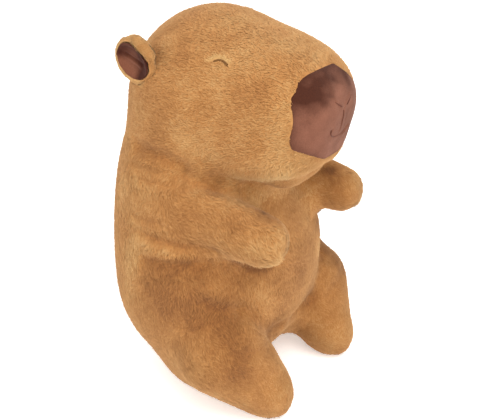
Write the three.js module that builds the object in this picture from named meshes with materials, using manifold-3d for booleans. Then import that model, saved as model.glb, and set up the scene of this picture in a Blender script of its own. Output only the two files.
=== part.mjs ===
// A stuffed toy capybara of short-pile plush, sitting upright with its arms held out. Millimetres, +Z up.
// The toy faces -Y and its left side is +X. The origin is in the middle of its base, on the surface that
// it sits on. The surfaces here are those of the fur's tips.
import * as THREE from "three";
import { mergeVertices } from "three/addons/utils/BufferGeometryUtils.js";
import Module from "manifold-3d";

const wasm = await Module();
wasm.setup();

const vec = (x, y, z) => new THREE.Vector3(x, y, z);

// Driving dimensions. An egg has a centre, radii along X, Y and Z, and a tilt about X in radians that
// lifts its back end. A limb runs from a root to a tip, each with its radius. What comes in pairs is given
// for the toy's right side.
const SKULL = { centre: vec(0, 23.5, 270), radii: vec(81, 71.4, 79.5), tilt: 0.34 };
const MUZZLE = { centre: vec(0, -55.5, 266), half: vec(57, 49.5, 62), round: 48, tilt: 0.23 };
const CHEST = { centre: vec(0, 35, 196.5), radii: vec(89.5, 70, 98.5), tilt: 0 };
const BELLY = { centre: vec(0, 13.5, 108), radii: vec(115, 91, 113), tilt: 0 };
const THIGH = { centre: vec(-55, -9.5, 40), radii: vec(41, 44, 44.5), tilt: 0 };
const SHIN = { root: vec(-74, -43, 60.5), tip: vec(-59.5, -74.5, 28), rootRadius: 42.5, tipRadius: 29 };
const TOE = { centre: vec(-57, -88, 19), radii: vec(17, 20.5, 21), tilt: 0 };
const ARM = { root: vec(-63, 1.5, 186), tip: vec(-64.5, -78, 180), rootRadius: 31.5, tipRadius: 22 };

// How widely two forms flow into each other where they join.
const FILLET = { face: 51, trunk: 46, knee: 19, foot: 12, hip: 17, shoulder: 14, neck: 14 };

// The neck is parted on a plane through this point of the crease under the chin, climbing to the back.
const NECK = { at: vec(0, -42, 212), climb: 0.275 };

// The nose panel covers the front of the muzzle. Seen from the front it has a rounded outline, given by half
// its width and height and drawn with this many sides. It reaches from a front to a back along Y.
const NOSE = { height: 277.5, halves: [47, 37.5], squareness: 3, sides: 40, back: -77, front: -119 };

// The stitches are satin cord of this radius on the surface. Their routes are given from the front (X, Z)
// on the nose, and along the side (Y, Z) for the closed eye on the toy's right.
const STITCH = 1.3;
const NOSTRIL = [[-2.5, 283.5], [-8.5, 288], [-13.5, 291]];
const LIP = [[0, 281], [0, 272], [0, 263]];
const SMILE = [[-15, 264.5], [-11, 260], [0, 258.5], [11, 260], [15, 264.5]];
const LID = [[-31.5, 315], [-28, 318], [-24, 319], [-20.5, 318.5], [-18, 317]];

// The ear is a round flap whose hollow opens to the side. Its rim lies in a plane that faces along out,
// and its tip points up and back. The hollow sits a little aside, so that the flap is thicker along its
// lower rim.
const EAR = { centre: vec(-75, 46.5, 310.4), out: vec(-0.98, 0, -0.21), tip: vec(-0.14, 0.75, 0.65) };
const EAR_RADII = { width: 22, length: 20.5, depth: 8.5 };
const EAR_CUP = { width: 15, length: 17, depth: 7.5, proud: 5.5, aside: 2.3, lining: 2.4 };

// The seam between a limb and the trunk runs this far outside the limb. Pieces that touch keep the gap.
const SEAM = 3;
const GAP = 0.3;

// The cells that the stuffed shape and the seams inside it are meshed in, and the space that they fill.
const CELL = 9.5;
const SEAM_CELL = 15;
const LOW = vec(-150, -150, -40);
const HIGH = vec(150, 145, 385);

// A cutting block reaches this far, which is past the toy on every side.
const REACH = 400;

const COLOURS = { plush: 0xc48e54, nose: 0x8d6054, lining: 0x7d5046, stitch: 0x4a2a1c };

const clamp01 = (t) => Math.min(1, Math.max(0, t));
const mirrored = (p) => vec(-p.x, p.y, p.z);
const onRight = (p) => vec(-Math.abs(p.x), p.y, p.z);

// A field gives the distance of a point from a surface, less than zero inside it.
function egg({ centre, radii, tilt }) {
  const turn = new THREE.Matrix4().makeRotationX(-tilt);
  return (p) => {
    const q = p.clone().sub(centre).applyMatrix4(turn).divide(radii);
    const steepness = q.clone().divide(radii).length() + 1e-9;
    return (q.length() * (q.length() - 1)) / steepness;
  };
}

// A box with rounded edges.
function block({ centre, half, round, tilt }) {
  const turn = new THREE.Matrix4().makeRotationX(-tilt);
  return (p) => {
    const q = p.clone().sub(centre).applyMatrix4(turn);
    q.set(Math.abs(q.x), Math.abs(q.y), Math.abs(q.z)).sub(half).addScalar(round);
    const inside = Math.min(Math.max(q.x, q.y, q.z), 0);
    return q.max(vec(0, 0, 0)).length() + inside - round;
  };
}

// Two balls and the cone that touches both.
function limb({ root, tip, rootRadius, tipRadius }) {
  const axis = tip.clone().sub(root);
  const length = axis.length();
  const slant = (rootRadius - tipRadius) / length;
  const flank = Math.sqrt(1 - slant * slant);
  axis.normalize();
  return (p) => {
    const q = p.clone().sub(root);
    const along = q.dot(axis);
    const away = Math.sqrt(Math.max(q.lengthSq() - along * along, 0));
    const t = clamp01((along - (away * slant) / flank) / length);
    return Math.hypot(away, along - t * length) - (rootRadius + (tipRadius - rootRadius) * t);
  };
}

// Joins two fields with a fillet.
function joined(a, b, fillet) {
  const share = Math.max(fillet - Math.abs(a - b), 0) / fillet;
  return Math.min(a, b) - (share * share * fillet) / 4;
}

const skull = egg(SKULL);
const muzzle = block(MUZZLE);
const chest = egg(CHEST);
const belly = egg(BELLY);
const thigh = egg(THIGH);
const shin = limb(SHIN);
const toe = egg(TOE);
const arm = limb(ARM);

const head = (p) => joined(skull(p), muzzle(p), FILLET.face);
const trunk = (p) => joined(chest(p), belly(p), FILLET.trunk);
const leg = (p) => joined(joined(thigh(p), shin(p), FILLET.knee), toe(p), FILLET.foot);

function toy(p) {
  const q = onRight(p);
  const seated = joined(trunk(p), leg(q), FILLET.hip);
  return joined(joined(seated, arm(q), FILLET.shoulder), head(p), FILLET.neck);
}

function slope(field, p) {
  const step = 0.5;
  const change = (x, y, z) =>
    (field(vec(p.x + x, p.y + y, p.z + z)) - field(vec(p.x - x, p.y - y, p.z - z))) / (2 * step);
  return vec(change(step, 0, 0), change(0, step, 0), change(0, 0, step));
}

// Moves a point onto the surface of a field, the shortest way.
function settle(field, p) {
  for (let n = 0; n < 3; n++) {
    const up = slope(field, p);
    p.addScaledVector(up, -field(p) / up.lengthSq());
  }
  return p;
}

// Meshes a field. Each cell that the surface passes through gets one point on it, and each cell edge that
// it crosses gets a face between the four cells around that edge.
function meshOf(field, cell) {
  const count = HIGH.clone().sub(LOW).divideScalar(cell).ceil();
  const index = (i, j, k) => (k * count.y + j) * count.x + i;
  const corner = (i, j, k) => vec(i, j, k).multiplyScalar(cell).add(LOW);
  const axes = [[1, 0, 0], [0, 1, 0], [0, 0, 1]];
  const each = (from, use) => {
    for (let k = from; k + 1 < count.z; k++)
      for (let j = from; j + 1 < count.y; j++)
        for (let i = from; i + 1 < count.x; i++) use(i, j, k);
  };

  const value = new Float32Array(count.x * count.y * count.z);
  for (let n = 0; n < value.length; n++) {
    const i = n % count.x;
    const j = Math.floor(n / count.x) % count.y;
    value[n] = field(corner(i, j, Math.floor(n / (count.x * count.y))));
  }

  const points = [];
  const pointIn = new Map();
  each(0, (i, j, k) => {
    const middle = vec(0, 0, 0);
    let crossings = 0;
    for (const [a, b, c] of axes)
      for (const [s, t] of [[0, 0], [0, 1], [1, 0], [1, 1]]) {
        const at = [i + (a ? 0 : s), j + (b ? 0 : a ? s : t), k + (c ? 0 : t)];
        const to = [at[0] + a, at[1] + b, at[2] + c];
        const v0 = value[index(...at)];
        const v1 = value[index(...to)];
        if (v0 < 0 === v1 < 0) continue;
        middle.add(corner(...at).lerp(corner(...to), v0 / (v0 - v1)));
        crossings++;
      }
    if (!crossings) return;
    pointIn.set(index(i, j, k), points.length);
    points.push(settle(field, middle.divideScalar(crossings)));
  });

  const faces = [];
  each(1, (i, j, k) =>
    axes.forEach(([a, b, c], axis) => {
      const inside = value[index(i, j, k)] < 0;
      if (inside === value[index(i + a, j + b, k + c)] < 0) return;
      const u = axes[(axis + 1) % 3];
      const v = axes[(axis + 2) % 3];
      const around = [[0, 0], [1, 0], [1, 1], [0, 1]].map(([s, t]) =>
        pointIn.get(index(i - s * u[0] - t * v[0], j - s * u[1] - t * v[1], k - s * u[2] - t * v[2])),
      );
      if (!inside) around.reverse();
      const [p, q, r, s] = around;
      const short = points[p].distanceTo(points[r]) < points[q].distanceTo(points[s]);
      faces.push(...(short ? [p, q, r, p, r, s] : [q, r, s, q, s, p]));
    }),
  );
  return new THREE.BufferGeometry().setFromPoints(points).setIndex(faces);
}

// The same closed mesh, grown by moving each point outwards.
function grown(geometry, by) {
  const made = geometry.clone();
  made.computeVertexNormals();
  const position = made.attributes.position;
  const p = vec(0, 0, 0);
  for (let n = 0; n < position.count; n++) {
    p.fromBufferAttribute(made.attributes.normal, n).multiplyScalar(by);
    position.setXYZ(n, position.getX(n) + p.x, position.getY(n) + p.y, position.getZ(n) + p.z);
  }
  return made;
}

function solid(geometry) {
  const bare = geometry.clone();
  bare.deleteAttribute("normal");
  bare.deleteAttribute("uv");
  const merged = mergeVertices(bare, 1e-4);
  const vertProperties = merged.attributes.position.array;
  return new wasm.Manifold(
    new wasm.Mesh({ numProp: 3, vertProperties, triVerts: new Uint32Array(merged.index.array) }),
  );
}

// The separate closed pieces that a cut leaves, the largest first. Any past those wanted are scraps.
function pieces(made) {
  return made.decompose().sort((a, b) => b.volume() - a.volume());
}

const group = new THREE.Group();
const materials = {
  plush: new THREE.MeshStandardMaterial({ color: COLOURS.plush, roughness: 0.95, metalness: 0 }),
  nose: new THREE.MeshStandardMaterial({ color: COLOURS.nose, roughness: 0.85, metalness: 0 }),
  lining: new THREE.MeshStandardMaterial({ color: COLOURS.lining, roughness: 0.85, metalness: 0 }),
  stitch: new THREE.MeshStandardMaterial({ color: COLOURS.stitch, roughness: 0.55, metalness: 0 }),
};

function add(name, made, material) {
  const { vertProperties, triVerts } = pieces(made)[0].getMesh();
  const geometry = new THREE.BufferGeometry();
  geometry.setAttribute("position", new THREE.BufferAttribute(vertProperties, 3));
  geometry.setIndex(new THREE.BufferAttribute(triVerts, 1));
  const mesh = new THREE.Mesh(geometry, material);
  mesh.name = name;
  group.add(mesh);
}

// An egg turned so that its X, Y and Z radii lie along three directions.
function turnedEgg(centre, radii, axes, sides) {
  const geometry = new THREE.SphereGeometry(1, sides, sides / 2);
  const frame = new THREE.Matrix4().makeBasis(...axes).setPosition(centre);
  return geometry.applyMatrix4(new THREE.Matrix4().makeScale(radii.x, radii.y, radii.z)).applyMatrix4(frame);
}

// A stitched line: a cord through points that lie on the surface, sunk by half its thickness.
function cord(points, radius) {
  const route = new THREE.CatmullRomCurve3(points);
  const section = new THREE.Shape().absarc(0, 0, radius, 0, 2 * Math.PI);
  const steps = 3 * (points.length - 1);
  return new THREE.ExtrudeGeometry(section, { extrudePath: route, steps, curveSegments: 3 });
}

// The whole stuffed body, flat where it rests.
const skin = meshOf(toy, CELL);
const floor = solid(new THREE.BoxGeometry(REACH, REACH, REACH).translate(0, 0, -REACH / 2));
let body = solid(skin).subtract(floor);
const bodyAndGap = solid(grown(skin, GAP));

// The arms and legs, each parted from the trunk along a seam around its root.
for (const [name, field] of [["arm", arm], ["leg", leg]]) {
  const seam = meshOf((p) => field(p) - SEAM, SEAM_CELL);
  for (const [side, flip] of [["right", 1], ["left", -1]]) {
    const own = solid(seam).scale([flip, 1, 1]);
    const wide = solid(grown(seam, GAP)).scale([flip, 1, 1]);
    add(`${name}_${side}`, body.intersect(own), materials.plush);
    body = body.subtract(wide);
  }
}

// The nose panel, with the stitched nostrils and mouth sunk in its front.
function noseBlock(margin) {
  const squared = (t) => Math.sign(t) * Math.abs(t) ** (2 / NOSE.squareness);
  const corners = [];
  for (let n = 0; n < NOSE.sides; n++) {
    const angle = (2 * Math.PI * n) / NOSE.sides;
    const x = squared(Math.cos(angle)) * (NOSE.halves[0] + margin);
    const y = squared(Math.sin(angle)) * (NOSE.halves[1] + margin);
    corners.push(new THREE.Vector2(x, y));
  }
  const outline = new THREE.Shape(corners);
  const depth = NOSE.back - NOSE.front + margin;
  const made = new THREE.ExtrudeGeometry(outline, { depth, bevelEnabled: false, curveSegments: 1 });
  return solid(made.rotateX(Math.PI / 2).translate(0, NOSE.back + margin, NOSE.height));
}

const onNose = ([x, z]) => {
  const p = vec(x, NOSE.front, z);
  for (let n = 0; n < 20; n++) p.y += toy(p);
  return p;
};
const noseLines = {
  nostril_right: NOSTRIL.map(onNose),
  nostril_left: NOSTRIL.map(([x, z]) => onNose([-x, z])),
  lip_seam: LIP.map(onNose),
  mouth: SMILE.map(onNose),
};
let nose = body.intersect(noseBlock(0));
for (const [name, points] of Object.entries(noseLines)) {
  nose = nose.subtract(solid(cord(points, STITCH + GAP)));
  add(name, solid(cord(points, STITCH)), materials.stitch);
}
add("nose", nose, materials.nose);
body = body.subtract(noseBlock(GAP));

// The neck seam parts the head from the torso.
const neckCut = new THREE.BoxGeometry(REACH, REACH, GAP).rotateX(NECK.climb).translate(...NECK.at.toArray());
const parted = pieces(body.subtract(solid(neckCut))).slice(0, 2);
let [torso, headPiece] = parted.sort((a, b) => a.boundingBox().max[2] - b.boundingBox().max[2]);
add("torso", torso, materials.plush);

// The closed eyes, a stitched arch on each side of the head.
const onSide = ([y, z]) => {
  const p = vec(LOW.x, y, z);
  for (let n = 0; n < 40; n++) p.x += 0.7 * toy(p);
  return p;
};
for (const [side, place] of [["right", (p) => p], ["left", mirrored]]) {
  const points = LID.map((at) => place(onSide(at)));
  headPiece = headPiece.subtract(solid(cord(points, STITCH + GAP)));
  add(`eye_${side}`, solid(cord(points, STITCH)), materials.stitch);
}
add("head", headPiece, materials.plush);

// The ears: a plush flap with a hollow, and the lining that lies in the hollow.
const out = EAR.out.clone().normalize();
const tip = EAR.tip.clone().addScaledVector(out, -EAR.tip.dot(out)).normalize();
const earAxes = [tip.clone().cross(out), tip, out];
const cupCentre = EAR.centre.clone();
cupCentre.addScaledVector(out, EAR_CUP.proud).addScaledVector(earAxes[0], EAR_CUP.aside);
const radiiOf = ({ width, length, depth }, margin) => vec(width + margin, length + margin, depth + margin);
const flap = solid(turnedEgg(EAR.centre, radiiOf(EAR_RADII, 0), earAxes, 16));
const hollow = solid(turnedEgg(cupCentre, radiiOf(EAR_CUP, GAP), earAxes, 14));
const lined = solid(turnedEgg(cupCentre, radiiOf(EAR_CUP, 0), earAxes, 14));
const open = lined.translate(out.clone().multiplyScalar(EAR_CUP.lining).toArray());
const ear = flap.subtract(hollow).subtract(bodyAndGap);
const lining = lined.intersect(flap).subtract(open).subtract(bodyAndGap);
for (const [side, flip] of [["right", 1], ["left", -1]]) {
  add(`ear_${side}`, ear.scale([flip, 1, 1]), materials.plush);
  add(`ear_lining_${side}`, lining.scale([flip, 1, 1]), materials.lining);
}

export default group;
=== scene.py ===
import math

import bmesh
import bpy
import numpy as np
from mathutils import Matrix, Vector
from mathutils.bvhtree import BVHTree


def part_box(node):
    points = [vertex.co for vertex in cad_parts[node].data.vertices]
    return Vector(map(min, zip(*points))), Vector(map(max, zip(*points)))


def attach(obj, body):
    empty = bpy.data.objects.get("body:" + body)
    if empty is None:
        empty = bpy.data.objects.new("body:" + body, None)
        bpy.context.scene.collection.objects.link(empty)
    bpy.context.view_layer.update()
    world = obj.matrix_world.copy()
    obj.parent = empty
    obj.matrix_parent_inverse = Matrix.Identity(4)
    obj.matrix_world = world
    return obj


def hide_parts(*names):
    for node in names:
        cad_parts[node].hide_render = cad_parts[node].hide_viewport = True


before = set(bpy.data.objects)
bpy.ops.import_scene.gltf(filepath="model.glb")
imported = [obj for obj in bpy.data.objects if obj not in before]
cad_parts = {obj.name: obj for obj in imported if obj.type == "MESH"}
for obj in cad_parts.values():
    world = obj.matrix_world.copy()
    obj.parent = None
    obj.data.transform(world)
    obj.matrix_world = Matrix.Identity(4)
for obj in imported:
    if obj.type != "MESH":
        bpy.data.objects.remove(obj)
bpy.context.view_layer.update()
scene = bpy.context.scene
MM = 0.001


# The studio: a pale, faintly lit table top that sweeps up into a backdrop, large soft lamps above, in front
# and behind, and a near-white surround. The camera looks down on the toy's right side.
CAMERA_PLACE = Vector((-0.4955, -0.3612, 0.4647))
CAMERA_TURN = math.radians(54.5)
CAMERA_DROP = math.radians(26.5)
CAMERA_ROLL = math.radians(1.0)
CAMERA_LENS = 54.0
SENSOR_WIDTH = 36.0
TABLE_REACH = 2.4
TABLE_BEND = 0.6
TABLE_COLOUR = (0.93, 0.925, 0.91, 1)
TABLE_GLOW = 0.45
TABLE_ROUGHNESS = 0.7
SURROUND = ((1.0, 0.99, 0.97, 1), 1.1)
LAMPS = (
    ("lamp_key", (-0.30, -0.55, 1.35), 0.9, 9.0),
    ("lamp_front", (-0.60, -1.30, 0.35), 0.9, 4.5),
    ("lamp_back", (-0.9, 0.95, 0.8), 1.0, 3.0),
)
MIDDLE = Vector((0, 0, 0.17))


def finish_of(name, colour, roughness):
    """A new material, its shader and its node tree."""
    material = bpy.data.materials.new(name)
    material.use_nodes = True
    shader = material.node_tree.nodes["Principled BSDF"]
    shader.inputs["Base Color"].default_value = colour
    shader.inputs["Roughness"].default_value = roughness
    return material, shader, material.node_tree


def mesh_piece(name, points, faces, smooth=True):
    """A mesh object from arrays of points and of faces with the same number of corners."""
    mesh = bpy.data.meshes.new(name)
    corners = faces.shape[1]
    mesh.vertices.add(len(points))
    mesh.vertices.foreach_set("co", np.asarray(points, np.float32).ravel())
    mesh.loops.add(faces.size)
    mesh.loops.foreach_set("vertex_index", faces.astype(np.int32).ravel())
    mesh.polygons.add(len(faces))
    mesh.polygons.foreach_set("loop_start", np.arange(0, faces.size, corners, dtype=np.int32))
    mesh.polygons.foreach_set("use_smooth", np.full(len(faces), smooth))
    mesh.update(calc_edges=True)
    piece = bpy.data.objects.new(name, mesh)
    scene.collection.objects.link(piece)
    return piece


def swept_table():
    """The table's profile along Y, flat and then rising in a quarter circle, drawn out along X."""
    bend = [math.radians(a) for a in range(0, 91, 6)]
    profile = [(-TABLE_REACH, 0.0)]
    start = TABLE_REACH - TABLE_BEND
    profile += [(start + TABLE_BEND * math.sin(a), TABLE_BEND * (1 - math.cos(a))) for a in bend]
    profile += [(TABLE_REACH, TABLE_REACH)]
    across = Vector((math.cos(CAMERA_TURN), -math.sin(CAMERA_TURN), 0))
    away = Vector((math.sin(CAMERA_TURN), math.cos(CAMERA_TURN), 0))
    sides = (-TABLE_REACH, TABLE_REACH)
    points = [across * side + away * y + Vector((0, 0, z)) for y, z in profile for side in sides]
    faces = [(2 * n, 2 * n + 1, 2 * n + 3, 2 * n + 2) for n in range(len(profile) - 1)]
    return mesh_piece("table", np.array(points), np.array(faces))


table = swept_table()
table_top, table_shader, _ = finish_of("table_top", TABLE_COLOUR, TABLE_ROUGHNESS)
table_shader.inputs["Emission Color"].default_value = TABLE_COLOUR
table_shader.inputs["Emission Strength"].default_value = TABLE_GLOW
table.data.materials.append(table_top)

camera = bpy.data.objects.new("camera", bpy.data.cameras.new("camera"))
camera.data.lens = CAMERA_LENS
camera.data.sensor_width = SENSOR_WIDTH
camera.data.sensor_fit = "HORIZONTAL"
turned = Matrix.Rotation(-CAMERA_TURN, 4, "Z") @ Matrix.Rotation(math.pi / 2 - CAMERA_DROP, 4, "X")
camera.matrix_world = Matrix.Translation(CAMERA_PLACE) @ turned @ Matrix.Rotation(CAMERA_ROLL, 4, "Z")
scene.collection.objects.link(camera)
scene.camera = camera
scene.view_settings.view_transform = "Standard"

world = bpy.data.worlds.new("surround")
world.use_nodes = True
world.node_tree.nodes["Background"].inputs["Color"].default_value = SURROUND[0]
world.node_tree.nodes["Background"].inputs["Strength"].default_value = SURROUND[1]
scene.world = world

for name, place, width, watts in LAMPS:
    lamp = bpy.data.lights.new(name, "AREA")
    lamp.shape = "DISK"
    lamp.size = width
    lamp.energy = watts
    holder = bpy.data.objects.new(name, lamp)
    holder.location = place
    holder.rotation_euler = (MIDDLE - Vector(place)).to_track_quat("-Z", "Y").to_euler()
    scene.collection.objects.link(holder)


# The stuffed body: knitted plush, cut in panels, sewn inside out, turned and filled tightly with fibre. It is
# one skin under the fur, drawn in along the neck, the arms and the hips where the panels are sewn and the
# filling folds. The ears are sewn on as flat cups.
FLESH = ["head", "torso", "arm_left", "arm_right", "leg_left", "leg_right"]
EARS = ["ear_left", "ear_right"]
STITCHED = ["nose", "eye_left", "eye_right", "nostril_left", "nostril_right", "lip_seam", "mouth"]
SAME_POINT = 1e-6
SKIN_OVERLAP = 0.3 * MM
SKIN_CELL = 2.5 * MM
SKIN_EASING = 14
DRAWN_EASING = 3
EASING_STEPS = (0.55, -0.57)
EAR_OVERLAP = 0.1 * MM
EAR_CELL = 1.1 * MM
EAR_EASING = 5

# Where the front edge of each ear folds over its lining: a line seen from the side (Y, Z), as its direction
# across and its place, and how much fuller the ear is beyond it.
EAR_FOLD_ACROSS = np.array([0, -0.664, 0.748])
EAR_FOLD_PLACE = 215.8 * MM
EAR_FOLD_WIDTH = 2.5 * MM
EAR_FOLD_FULL = {"ear_right": 2.4 * MM, "ear_left": 0.5 * MM}
EAR_LINED = (0.75 * MM, -0.2 * MM)

# How deep the fur is over the skin, on each part of the toy and where it is pressed against the table. It
# thins out where the ears meet the head: within this distance, down to these shares of its depth.
FUR_DEPTH = {"torso": 1.9, "head": 1.6, "arm": 1.8, "leg": 1.8, "ear": 0.9, "nose": 1.4}
DEPTH_ROUNDS = 3
PRESSED_DEPTH = 1.2 * MM
PRESSED_BELOW = 3 * MM
PRESSED_FACING = -0.6
EAR_ROOT = 5 * MM
BODY_DEPTH_LEAST = 0.15
EAR_DEPTH_LEAST = -0.2

# Creases and ridges, for the toy's right side, in millimetres: the route on the surface, how far the skin is
# drawn in, or let out where the number is less than zero, how wide it is, and how much darker the pile is
# painted in it as shade, or lighter as painted light on a ridge where the number is less than zero. Those
# marked as both are on both sides.
CREASES = (
    (
        [(-81, 45, 238), (-82, 30, 237.5), (-81, 19, 236), (-78.5, 9, 233), (-75.5, -2, 227.5)],
        5.6, 6, 0.52, "both",
    ),
    ([(-75.5, -2, 227.5), (-73, -10, 222), (-71, -17, 219), (-63, -27, 217)], 5.0, 5.5, 0.32, "both"),
    (
        [(-63, -27, 217), (-56, -37, 214.5), (-43.5, -49, 210.5), (-30, -57, 208), (0, -62, 206)],
        5.4, 7, 0.14, "both",
    ),
    ([(-88, 42, 222), (-86.5, 24, 223), (-83, 11, 223.5), (-78.5, -2, 221)], 3.0, 4.5, 0.34, "both"),
    ([(-89, 32, 214), (-87.5, 13, 215.5), (-83.5, -0.5, 216), (-79, -10.5, 215.5)], 2.6, 4, 0.28, "both"),
    ([(-99.5, 34, 181), (-98, 6, 184)], 1.6, 4, 0.20, "right"),
    ([(-102, 46, 166), (-102.5, 24, 171)], 1.2, 4, 0.12, "right"),
    (
        [(-103, 22, 171), (-101.5, 6, 169), (-98, -10, 167.5), (-90, -30, 167.5), (-85, -43, 167)],
        2.6, 5, 0.30, "right",
    ),
    ([(-104, 12, 160.5), (-100, -6, 160), (-93, -22, 160.5)], -2.2, 6, -0.20, "right"),
    ([(-107, 18, 148), (-105, -5, 150.5), (-97, -21, 152.5), (-87, -36, 153.5)], 4.4, 6.5, 0.32, "right"),
    ([(-93, -39, 121), (-88, -45, 115.5), (-80, -54, 111.5), (-70, -61.5, 108)], 3.2, 6, 0.22, "both"),
    ([(-70, -61.5, 108), (-60, -67.5, 102), (-51, -72.5, 89), (-38, -73.5, 70)], 3.8, 6, 0.20, "both"),
    ([(-94, -74, 81), (-84, -79, 79), (-68, -82.5, 75), (-53, -81, 69)], 1.8, 6, 0.06, "both"),
    ([(-12, -69, 61), (-31, -71, 65)], 4.5, 8, 0.40, "both"),
    ([(-46, -58, 213), (-42, -74, 217), (-28, -88, 219), (0, -93, 219)], 4.0, 12, 0, "both"),
    ([(-56.7, -19.5, 317), (-54, -25.5, 318.7), (-54.6, -31.4, 315.5)], -1.2, 2.5, 0, "both"),
)


def arrays_of(mesh):
    """A mesh's points, edges and triangles."""
    points = np.empty(len(mesh.vertices) * 3, np.float32)
    mesh.vertices.foreach_get("co", points)
    edges = np.empty(len(mesh.edges) * 2, np.int32)
    mesh.edges.foreach_get("vertices", edges)
    mesh.calc_loop_triangles()
    faces = np.empty(len(mesh.loop_triangles) * 3, np.int32)
    mesh.loop_triangles.foreach_get("vertices", faces)
    return points.reshape(-1, 3).astype(float), edges.reshape(-1, 2), faces.reshape(-1, 3)


def unit(rows):
    return rows / np.maximum(np.linalg.norm(rows, axis=-1, keepdims=True), 1e-12)


def point_normals(points, faces):
    """The way that the surface faces at each point."""
    corner = points[faces]
    facing = np.cross(corner[:, 1] - corner[:, 0], corner[:, 2] - corner[:, 0])
    total = np.zeros_like(points)
    for side in range(3):
        np.add.at(total, faces[:, side], facing)
    return unit(total)


def neighbours_mean(values, edges):
    """For each point, the mean of what its neighbours hold."""
    a, b = edges[:, 0], edges[:, 1]
    count = np.bincount(a, minlength=len(values)) + np.bincount(b, minlength=len(values))
    columns = values.reshape(len(values), -1).T
    sums = [np.bincount(a, v[b], len(values)) + np.bincount(b, v[a], len(values)) for v in columns]
    return (np.stack(sums, 1) / np.maximum(count, 1)[:, None]).reshape(values.shape)


def blended(values, edges, rounds):
    """Values on the points, each evened out with its neighbours' a number of times."""
    for _ in range(rounds):
        values = 0.5 * values + 0.5 * neighbours_mean(values, edges)
    return values


def eased(points, edges, rounds):
    """Takes the facets out of a surface without shrinking it: each round eases it in and back out."""
    for _ in range(rounds):
        for step in EASING_STEPS:
            points = points + step * (neighbours_mean(points, edges) - points)
    return points


def distance_to_route(points, route):
    """How far each point is from a line through the points of a route."""
    nearest = np.linalg.norm(points - route[0], axis=1)
    for start, end in zip(route[:-1], route[1:]):
        along = end - start
        t = np.clip((points - start) @ along / (along @ along), 0, 1)
        nearest = np.minimum(nearest, np.linalg.norm(points - start - t[:, None] * along, axis=1))
    return nearest


def nearness(points, route, width):
    """1 on a route, falling off softly to nothing at about twice the width."""
    return np.exp(-((distance_to_route(points, route) / width) ** 2))


def on_side(route, flip):
    """A route given in millimetres for the toy's right, in metres, for that side (1) or the other (-1)."""
    return np.array(route, float) * (flip * MM, MM, MM)


def on_right(places):
    """Places with those on the toy's left moved across to its right."""
    return np.column_stack([-np.abs(places[:, 0]), places[:, 1:]])


def welded(name, grow=0.0):
    """A copy of a solid's mesh with its points merged, grown a little."""
    copy = bmesh.new()
    copy.from_mesh(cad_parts[name].data)
    bmesh.ops.remove_doubles(copy, verts=copy.verts, dist=SAME_POINT)
    copy.normal_update()
    for point in copy.verts:
        point.co += grow * point.normal
    return copy


def remeshed(nodes, cell, grow):
    """One closed surface around several solids, with the small gaps between them closed."""
    whole = bmesh.new()
    for node in nodes:
        part = welded(node, grow)
        mesh = bpy.data.meshes.new("part")
        part.to_mesh(mesh)
        part.free()
        whole.from_mesh(mesh)
        bpy.data.meshes.remove(mesh)
    mesh = bpy.data.meshes.new("shell")
    whole.to_mesh(mesh)
    whole.free()
    piece = bpy.data.objects.new("shell", mesh)
    scene.collection.objects.link(piece)
    remesh = piece.modifiers.new("remesh", "REMESH")
    remesh.mode = "VOXEL"
    remesh.voxel_size = cell
    bpy.context.view_layer.update()
    made = bpy.data.meshes.new_from_object(piece.evaluated_get(bpy.context.evaluated_depsgraph_get()))
    bpy.data.objects.remove(piece)
    points, edges, faces = arrays_of(made)
    bpy.data.meshes.remove(made)
    return points, edges, faces


def surface_tree(points, faces):
    return BVHTree.FromPolygons(points.tolist(), faces.tolist())


def distance_to_node(points, name):
    """How far each point is from a solid's surface."""
    copy = welded(name)
    tree = BVHTree.FromBMesh(copy)
    copy.free()
    return np.array([tree.find_nearest(p)[3] for p in points.tolist()])


def inside_of(points, tree):
    """Which points are inside a closed surface: a line upwards from them first meets it from within."""
    facing = [tree.ray_cast(p, (0, 0, 1))[1] for p in points.tolist()]
    return np.array([normal is not None and normal[2] > 0 for normal in facing])


body_points, body_edges, body_faces = remeshed(FLESH + STITCHED, SKIN_CELL, SKIN_OVERLAP)
body_nodes = FLESH + ["nose"]
nearest_node = np.argmin([distance_to_node(body_points, name) for name in body_nodes], axis=0)
body_part = np.array([name.split("_")[0] for name in body_nodes])[nearest_node]
body_points = eased(body_points, body_edges, SKIN_EASING)
body_normals = point_normals(body_points, body_faces)
body_tree = surface_tree(body_points, body_faces)

depth = np.vectorize(FUR_DEPTH.get)(body_part) * MM
for route, drawn_in, width, _, sides in CREASES:
    for flip in (1, -1) if sides == "both" else (1,):
        depth += drawn_in * MM * nearness(body_points, on_side(route, flip), width * MM)
on_table = (body_points[:, 2] < PRESSED_BELOW) & (body_normals[:, 2] < PRESSED_FACING)
depth[on_table] = PRESSED_DEPTH
from_ear = np.min([distance_to_node(body_points, ear) for ear in EARS], axis=0)
depth *= np.clip(from_ear / EAR_ROOT, BODY_DEPTH_LEAST, 1)
depth = blended(depth, body_edges, DEPTH_ROUNDS)
drawn = body_points - body_normals * depth[:, None]
drawn[:, 2] = np.maximum(drawn[:, 2], PRESSED_DEPTH)
drawn = eased(drawn, body_edges, DRAWN_EASING)

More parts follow.
